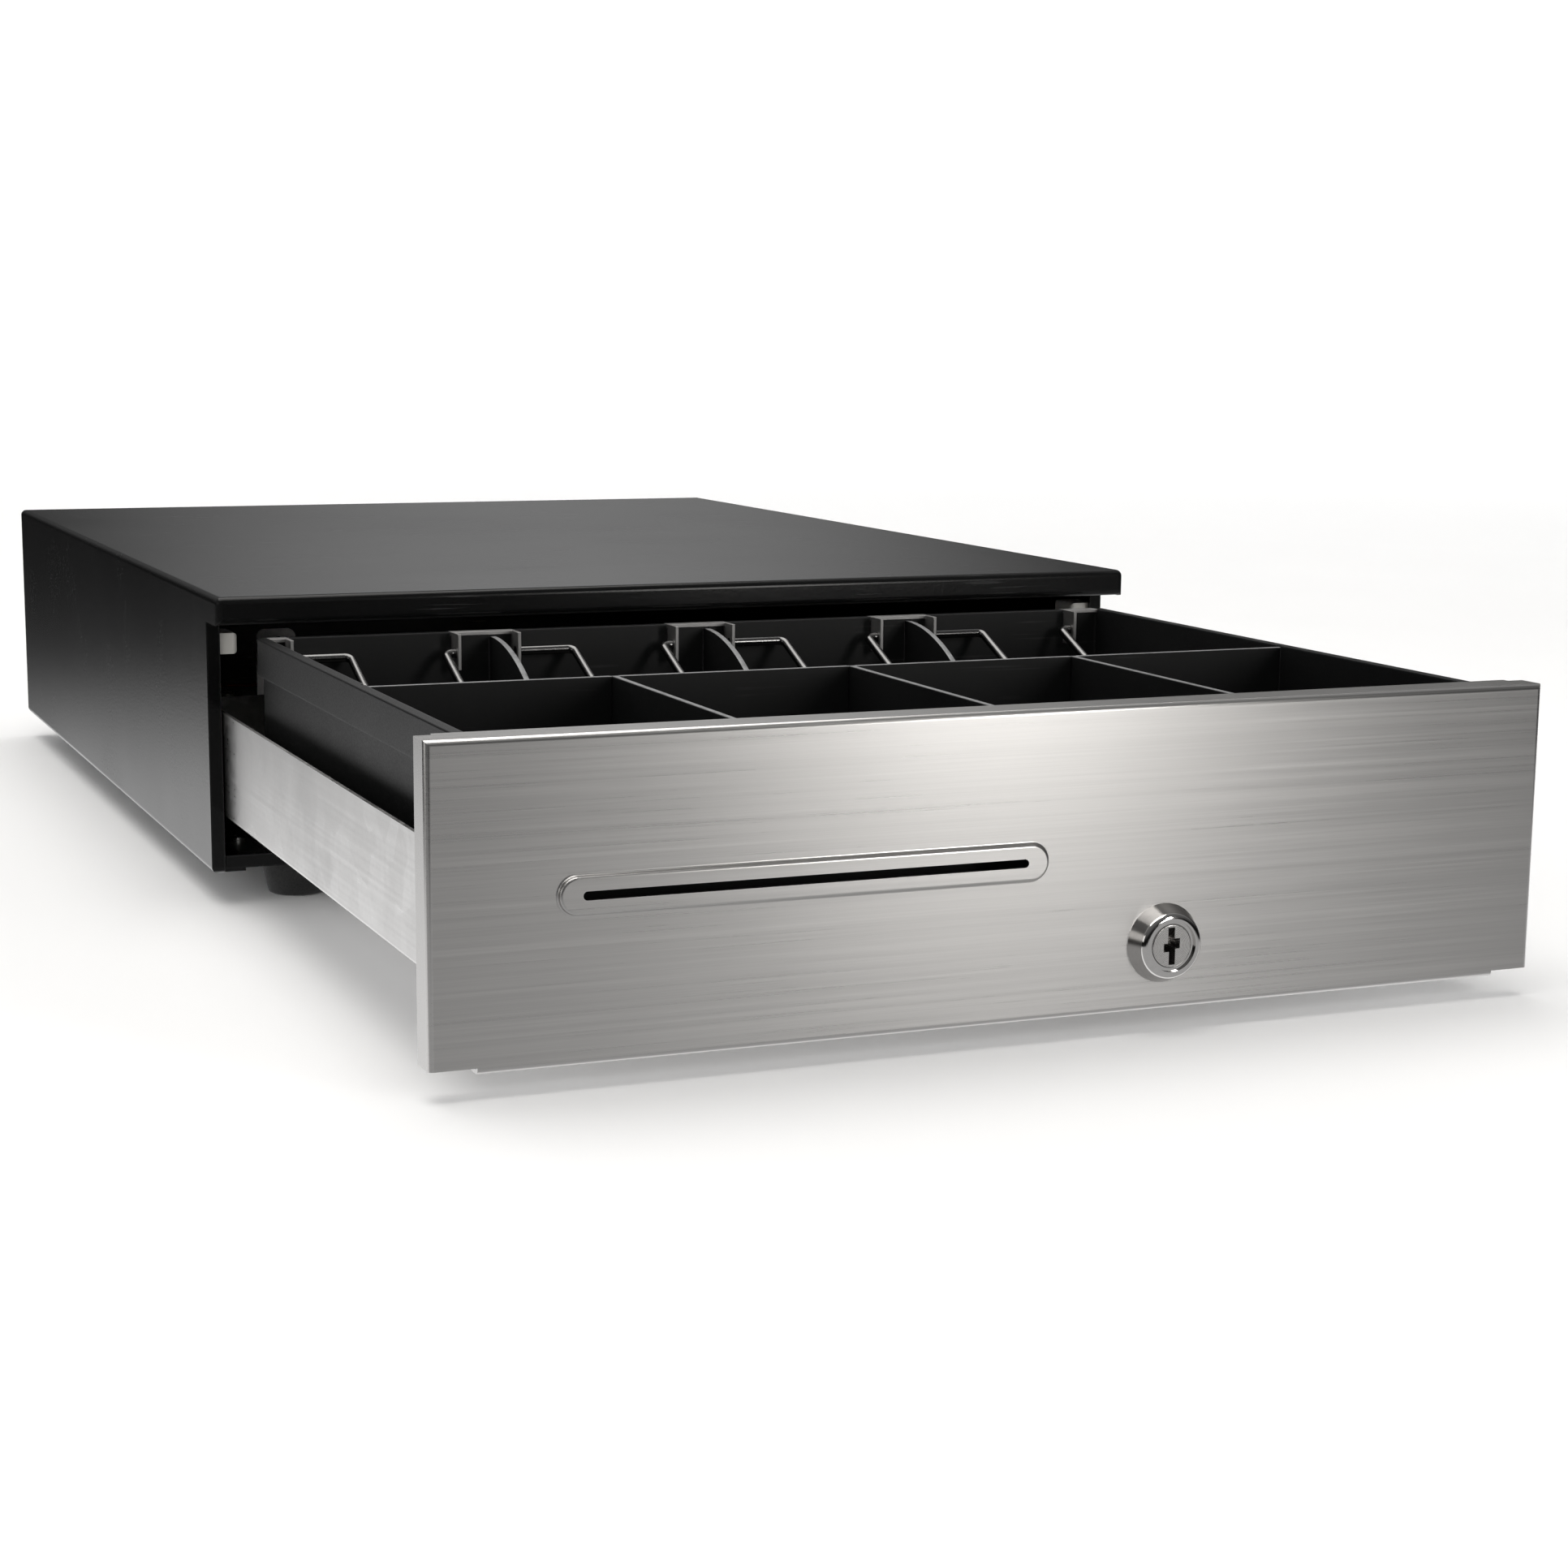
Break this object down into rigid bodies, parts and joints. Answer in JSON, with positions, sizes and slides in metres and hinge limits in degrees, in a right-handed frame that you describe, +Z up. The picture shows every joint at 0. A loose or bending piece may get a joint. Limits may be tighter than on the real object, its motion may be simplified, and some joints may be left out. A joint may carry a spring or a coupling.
{
  "type": "cash drawer",
  "caption": "Point-of-sale cash drawer: folded steel case, sliding drawer with a brushed front, key lock, media slot and a lift-out till with wire note hold-downs.",
  "frame": {"origin": "on the surface under the feet, at the middle of the box round the object with the drawer open", "axes": "+Z up; the drawer opens towards -Y, so the front panel faces -Y; +X is to the right of a person facing the front"},
  "size_m": [0.338, 0.6924, 0.106],
  "materials": {
    "powder_coat": "satin black powder coat",
    "stainless": "horizontally brushed stainless steel",
    "galvanised": "bright zinc-plated steel, semi-gloss",
    "chrome": "polished chrome",
    "satin_nickel": "satin nickel",
    "zinc_screw": "bright zinc",
    "spring_steel": "oiled spring steel",
    "till_plastic": "fine-grain black moulding",
    "divider_plastic": "black moulding, worn pale top edges",
    "rubber": "matt black rubber",
    "nylon": "natural nylon",
    "circuit_board": "green solder mask",
    "black_moulding": "smooth black moulding",
    "copper_winding": "lacquered copper wire under clear tape",
    "lead_insulation": "red wire insulation"
  },
  "bodies": {
    "case": {"case_cover": "powder_coat", "base_pan": "powder_coat", "rubber_feet": "rubber", "foot_screws": "zinc_screw", "cover_screws": "zinc_screw", "floor_screws": "zinc_screw", "side_guide_left": "nylon", "side_guide_right": "nylon", "slide_outer_left": "galvanised", "slide_outer_right": "galvanised", "lock_keeper": "galvanised", "latch_plate": "galvanised", "latch_pivot": "satin_nickel", "pivot_ring": "zinc_screw", "solenoid_frame": "galvanised", "solenoid_bobbin": "black_moulding", "solenoid_winding": "copper_winding", "plunger_spring": "spring_steel", "drawer_switch": "black_moulding", "eject_bracket": "galvanised", "eject_spring": "spring_steel", "interface_board": "circuit_board", "board_standoffs": "galvanised", "interface_socket": "black_moulding", "board_components": "black_moulding", "solenoid_leads": "lead_insulation"},
    "drawer": {"drawer_pan": "galvanised", "front_panel": "stainless", "panel_nuts": "zinc_screw", "latch_striker": "galvanised", "striker_pin": "satin_nickel", "drawer_rivets": "zinc_screw", "slide_inner_left": "galvanised", "slide_inner_right": "galvanised", "lock_housing": "chrome", "lock_clip": "galvanised"},
    "till": {"till_tray": "till_plastic", "cross_divider": "divider_plastic", "coin_divider_1": "divider_plastic", "coin_divider_2": "divider_plastic", "coin_divider_3": "divider_plastic", "bill_divider_1": "divider_plastic", "bill_divider_2": "divider_plastic", "bill_divider_3": "divider_plastic", "hold_down_clips": "chrome"},
    "hold_down_1": {"bill_hold_down_1": "chrome"},
    "hold_down_2": {"bill_hold_down_2": "chrome"},
    "hold_down_3": {"bill_hold_down_3": "chrome"},
    "hold_down_4": {"bill_hold_down_4": "chrome"},
    "lock_core": {"lock_plug": "satin_nickel", "lock_cam": "satin_nickel", "cam_screw": "zinc_screw"},
    "cage_left": {"ball_cage_left": "spring_steel", "slide_balls_left": "chrome"},
    "cage_right": {"ball_cage_right": "spring_steel", "slide_balls_right": "chrome"},
    "latch": {"latch_lever": "galvanised"},
    "plunger": {"solenoid_plunger": "satin_nickel", "plunger_pin": "satin_nickel"},
    "switch_arm": {"switch_lever": "spring_steel"}
  },
  "joints": [
    {"name": "drawer_slide", "type": "slide", "parent": "case", "child": "drawer", "axis": [0, -1, 0], "range_m": [-0.254, 0], "deforming": ["eject_spring"]},
    {"name": "cage_left_slide", "type": "slide", "parent": "case", "child": "cage_left", "axis": [0, -1, 0], "range_m": [-0.127, 0]},
    {"name": "cage_right_slide", "type": "slide", "parent": "case", "child": "cage_right", "axis": [0, -1, 0], "range_m": [-0.127, 0]},
    {"name": "till_lift", "type": "slide", "parent": "drawer", "child": "till", "axis": [0, 0, 1], "range_m": [0, 0.1]},
    {"name": "lock_turn", "type": "hinge", "parent": "drawer", "child": "lock_core", "pos_m": [0.0438, -0.34065, 0.026], "axis": [0, -1, 0], "range_deg": [-90, 0]},
    {"name": "latch_turn", "type": "hinge", "parent": "case", "child": "latch", "pos_m": [0.01, 0.26035, 0.0262], "axis": [0, 0, 1], "range_deg": [-15, 0]},
    {"name": "plunger_slide", "type": "slide", "parent": "case", "child": "plunger", "axis": [0, 1, 0], "range_m": [-0.0063, 0], "deforming": ["plunger_spring"]},
    {"name": "switch_turn", "type": "hinge", "parent": "case", "child": "switch_arm", "pos_m": [0.0264, 0.22995, 0.0262], "axis": [0, 0, 1], "range_deg": [0, 12.6]},
    {"name": "hold_down_1_turn", "type": "hinge", "parent": "till", "child": "hold_down_1", "pos_m": [-0.11588, -0.10515, 0.0863], "axis": [-1, 0, 0], "range_deg": [0, 95]},
    {"name": "hold_down_2_turn", "type": "hinge", "parent": "till", "child": "hold_down_2", "pos_m": [-0.03862, -0.10515, 0.0863], "axis": [-1, 0, 0], "range_deg": [0, 95]},
    {"name": "hold_down_3_turn", "type": "hinge", "parent": "till", "child": "hold_down_3", "pos_m": [0.03862, -0.10515, 0.0863], "axis": [-1, 0, 0], "range_deg": [0, 95]},
    {"name": "hold_down_4_turn", "type": "hinge", "parent": "till", "child": "hold_down_4", "pos_m": [0.11588, -0.10515, 0.0863], "axis": [-1, 0, 0], "range_deg": [0, 95]}
  ],
  "couplings": [
    {"joint": "cage_left_slide", "follows": "drawer_slide", "ratio": 0.5},
    {"joint": "cage_right_slide", "follows": "drawer_slide", "ratio": 0.5},
    {"joint": "plunger_slide", "follows": "latch_turn", "m_per_rad": 0.023932},
    {"joint": "switch_turn", "follows": "latch_turn", "ratio": -0.84}
  ]
}
